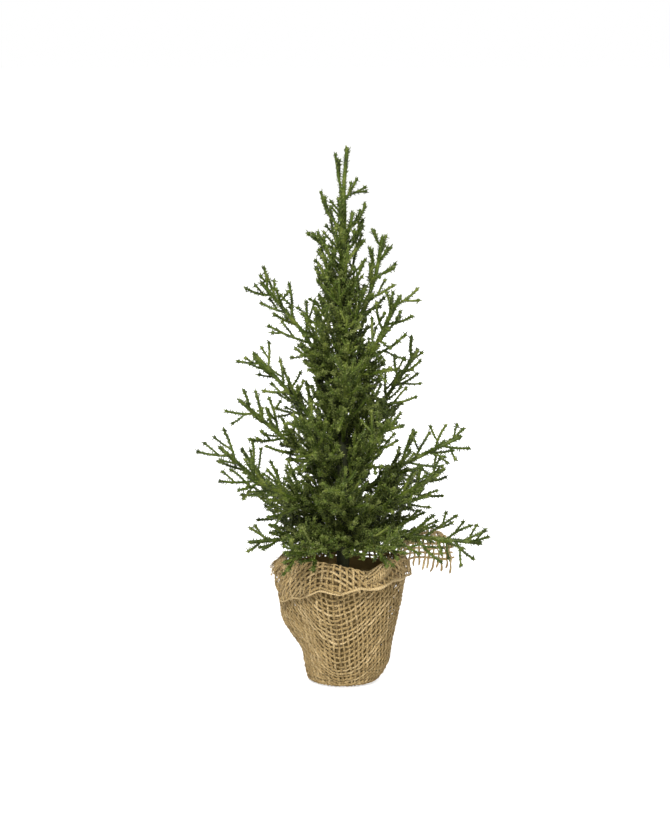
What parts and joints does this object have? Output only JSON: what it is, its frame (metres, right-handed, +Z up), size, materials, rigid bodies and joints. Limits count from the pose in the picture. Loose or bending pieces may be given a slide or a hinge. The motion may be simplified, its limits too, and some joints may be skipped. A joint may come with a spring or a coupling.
{
  "type": "artificial tabletop tree",
  "caption": "Small artificial evergreen with bendable moulded sprays on an upright rod, set in a weighted pot wrapped in open-weave burlap.",
  "frame": {"origin": "on the pot's axis, at the flat face that the tree rests on", "axes": "+Z up along the trunk; -Y is the front; the loose corner of the burlap stands out on the +X side"},
  "size_m": [0.1887, 0.1559, 0.3504],
  "materials": {
    "foliage": "moulded polyethylene, slightly waxy, olive green with lighter tips",
    "core_wire": "green-lacquered soft steel wire",
    "steel_rod": "drawn steel rod",
    "stem_tape": "brown-green florist's tape, wound in a spiral",
    "pot_plastic": "dark brown moulded polypropylene",
    "cement": "rough grey cement",
    "burlap": "natural jute, open plain weave"
  },
  "bodies": {
    "root": {"pot_shell": "pot_plastic", "ballast": "cement", "trunk_rod": "steel_rod", "trunk_tape": "stem_tape", "burlap_wrap": "burlap", "wire_stubs": "core_wire", "inner_sprigs": "foliage", "leader_spray": "foliage"},
    "branch_01": {"spray_01": "foliage", "wire_01": "core_wire"},
    "branch_02": {"spray_02": "foliage", "wire_02": "core_wire"},
    "branch_03": {"spray_03": "foliage", "wire_03": "core_wire"},
    "branch_04": {"spray_04": "foliage", "wire_04": "core_wire"},
    "branch_05": {"spray_05": "foliage", "wire_05": "core_wire"},
    "branch_06": {"spray_06": "foliage", "wire_06": "core_wire"},
    "branch_07": {"spray_07": "foliage", "wire_07": "core_wire"},
    "branch_08": {"spray_08": "foliage", "wire_08": "core_wire"},
    "branch_09": {"spray_09": "foliage", "wire_09": "core_wire"},
    "branch_10": {"spray_10": "foliage", "wire_10": "core_wire"},
    "branch_11": {"spray_11": "foliage", "wire_11": "core_wire"},
    "branch_12": {"spray_12": "foliage", "wire_12": "core_wire"},
    "branch_13": {"spray_13": "foliage", "wire_13": "core_wire"},
    "branch_14": {"spray_14": "foliage", "wire_14": "core_wire"},
    "branch_15": {"spray_15": "foliage", "wire_15": "core_wire"},
    "branch_16": {"spray_16": "foliage", "wire_16": "core_wire"},
    "branch_17": {"spray_17": "foliage", "wire_17": "core_wire"},
    "branch_18": {"spray_18": "foliage", "wire_18": "core_wire"},
    "branch_19": {"spray_19": "foliage", "wire_19": "core_wire"},
    "branch_20": {"spray_20": "foliage", "wire_20": "core_wire"},
    "branch_21": {"spray_21": "foliage", "wire_21": "core_wire"},
    "branch_22": {"spray_22": "foliage", "wire_22": "core_wire"},
    "branch_23": {"spray_23": "foliage", "wire_23": "core_wire"},
    "branch_24": {"spray_24": "foliage", "wire_24": "core_wire"},
    "branch_25": {"spray_25": "foliage", "wire_25": "core_wire"},
    "branch_26": {"spray_26": "foliage", "wire_26": "core_wire"}
  },
  "joints": [
    {"name": "bend_01", "type": "hinge", "parent": "root", "child": "branch_01", "pos_m": [0.00502, -0.00125, 0.097], "axis": [-0.2419, -0.9703, 0], "range_deg": [-8, 18]},
    {"name": "bend_02", "type": "hinge", "parent": "root", "child": "branch_02", "pos_m": [0.00212, -0.00476, 0.092], "axis": [-0.9135, -0.4067, 0], "range_deg": [-10, 18]},
    {"name": "bend_03", "type": "hinge", "parent": "root", "child": "branch_03", "pos_m": [-0.00246, -0.00462, 0.09], "axis": [-0.8829, 0.4695, 0], "range_deg": [-8, 18]},
    {"name": "bend_04", "type": "hinge", "parent": "root", "child": "branch_04", "pos_m": [-0.0051, -0.0009, 0.096], "axis": [-0.1736, 0.9848, 0], "range_deg": [-6, 18]},
    {"name": "bend_05", "type": "hinge", "parent": "root", "child": "branch_05", "pos_m": [-0.00321, 0.00411, 0.092], "axis": [0.788, 0.6157, 0], "range_deg": [-10, 18]},
    {"name": "bend_06", "type": "hinge", "parent": "root", "child": "branch_06", "pos_m": [0.00245, 0.00461, 0.091], "axis": [0.8829, -0.4695, 0], "range_deg": [-10, 18]},
    {"name": "bend_07", "type": "hinge", "parent": "root", "child": "branch_07", "pos_m": [0.00461, 0.00225, 0.101], "axis": [0.4384, -0.8988, 0], "range_deg": [-10, 18]},
    {"name": "bend_08", "type": "hinge", "parent": "root", "child": "branch_08", "pos_m": [0.00399, -0.00312, 0.108], "axis": [-0.6157, -0.788, 0], "range_deg": [-10, 18]},
    {"name": "bend_09", "type": "hinge", "parent": "root", "child": "branch_09", "pos_m": [0, -0.00505, 0.11], "axis": [-1, 0, 0], "range_deg": [-10, 18]},
    {"name": "bend_10", "type": "hinge", "parent": "root", "child": "branch_10", "pos_m": [-0.00396, -0.0031, 0.112], "axis": [-0.6157, 0.788, 0], "range_deg": [-10, 18]},
    {"name": "bend_11", "type": "hinge", "parent": "root", "child": "branch_11", "pos_m": [-0.00504, -0.00071, 0.105], "axis": [-0.1392, 0.9903, 0], "range_deg": [-10, 18]},
    {"name": "bend_12", "type": "hinge", "parent": "root", "child": "branch_12", "pos_m": [-0.0007, 0.00498, 0.112], "axis": [0.9903, 0.1392, 0], "range_deg": [-10, 18]},
    {"name": "bend_13", "type": "hinge", "parent": "root", "child": "branch_13", "pos_m": [0.00492, 0.00034, 0.122], "axis": [0.0698, -0.9976, 0], "range_deg": [-12, 16]},
    {"name": "bend_14", "type": "hinge", "parent": "root", "child": "branch_14", "pos_m": [0.00227, -0.00428, 0.132], "axis": [-0.8829, -0.4695, 0], "range_deg": [-12, 16]},
    {"name": "bend_15", "type": "hinge", "parent": "root", "child": "branch_15", "pos_m": [-0.00211, -0.00434, 0.134], "axis": [-0.8988, 0.4384, 0], "range_deg": [-12, 16]},
    {"name": "bend_16", "type": "hinge", "parent": "root", "child": "branch_16", "pos_m": [-0.0047, -0.001, 0.136], "axis": [-0.2079, 0.9781, 0], "range_deg": [-12, 16]},
    {"name": "bend_17", "type": "hinge", "parent": "root", "child": "branch_17", "pos_m": [-0.00271, 0.00401, 0.132], "axis": [0.829, 0.5592, 0], "range_deg": [-12, 16]},
    {"name": "bend_18", "type": "hinge", "parent": "root", "child": "branch_18", "pos_m": [0.00444, 0.00127, 0.156], "axis": [0.2756, -0.9613, 0], "range_deg": [-14, 12]},
    {"name": "bend_19", "type": "hinge", "parent": "root", "child": "branch_19", "pos_m": [0.00016, -0.00458, 0.16], "axis": [-0.9994, -0.0349, 0], "range_deg": [-14, 12]},
    {"name": "bend_20", "type": "hinge", "parent": "root", "child": "branch_20", "pos_m": [-0.00463, 0.00016, 0.154], "axis": [0.0349, 0.9994, 0], "range_deg": [-14, 14]},
    {"name": "bend_21", "type": "hinge", "parent": "root", "child": "branch_21", "pos_m": [0.00064, 0.00452, 0.162], "axis": [0.9903, -0.1392, 0], "range_deg": [-14, 12]},
    {"name": "bend_22", "type": "hinge", "parent": "root", "child": "branch_22", "pos_m": [0.00349, -0.00254, 0.188], "axis": [-0.5878, -0.809, 0], "range_deg": [-16, 8]},
    {"name": "bend_23", "type": "hinge", "parent": "root", "child": "branch_23", "pos_m": [-0.00214, -0.00371, 0.192], "axis": [-0.866, 0.5, 0], "range_deg": [-16, 8]},
    {"name": "bend_24", "type": "hinge", "parent": "root", "child": "branch_24", "pos_m": [-0.00424, -0.0003, 0.195], "axis": [-0.0698, 0.9976, 0], "range_deg": [-16, 10]},
    {"name": "bend_25", "type": "hinge", "parent": "root", "child": "branch_25", "pos_m": [-0.00073, 0.00416, 0.198], "axis": [0.9848, 0.1736, 0], "range_deg": [-16, 8]},
    {"name": "bend_26", "type": "hinge", "parent": "root", "child": "branch_26", "pos_m": [0.00396, 0.00028, 0.226], "axis": [0.0698, -0.9976, 0], "range_deg": [-16, 4]}
  ]
}
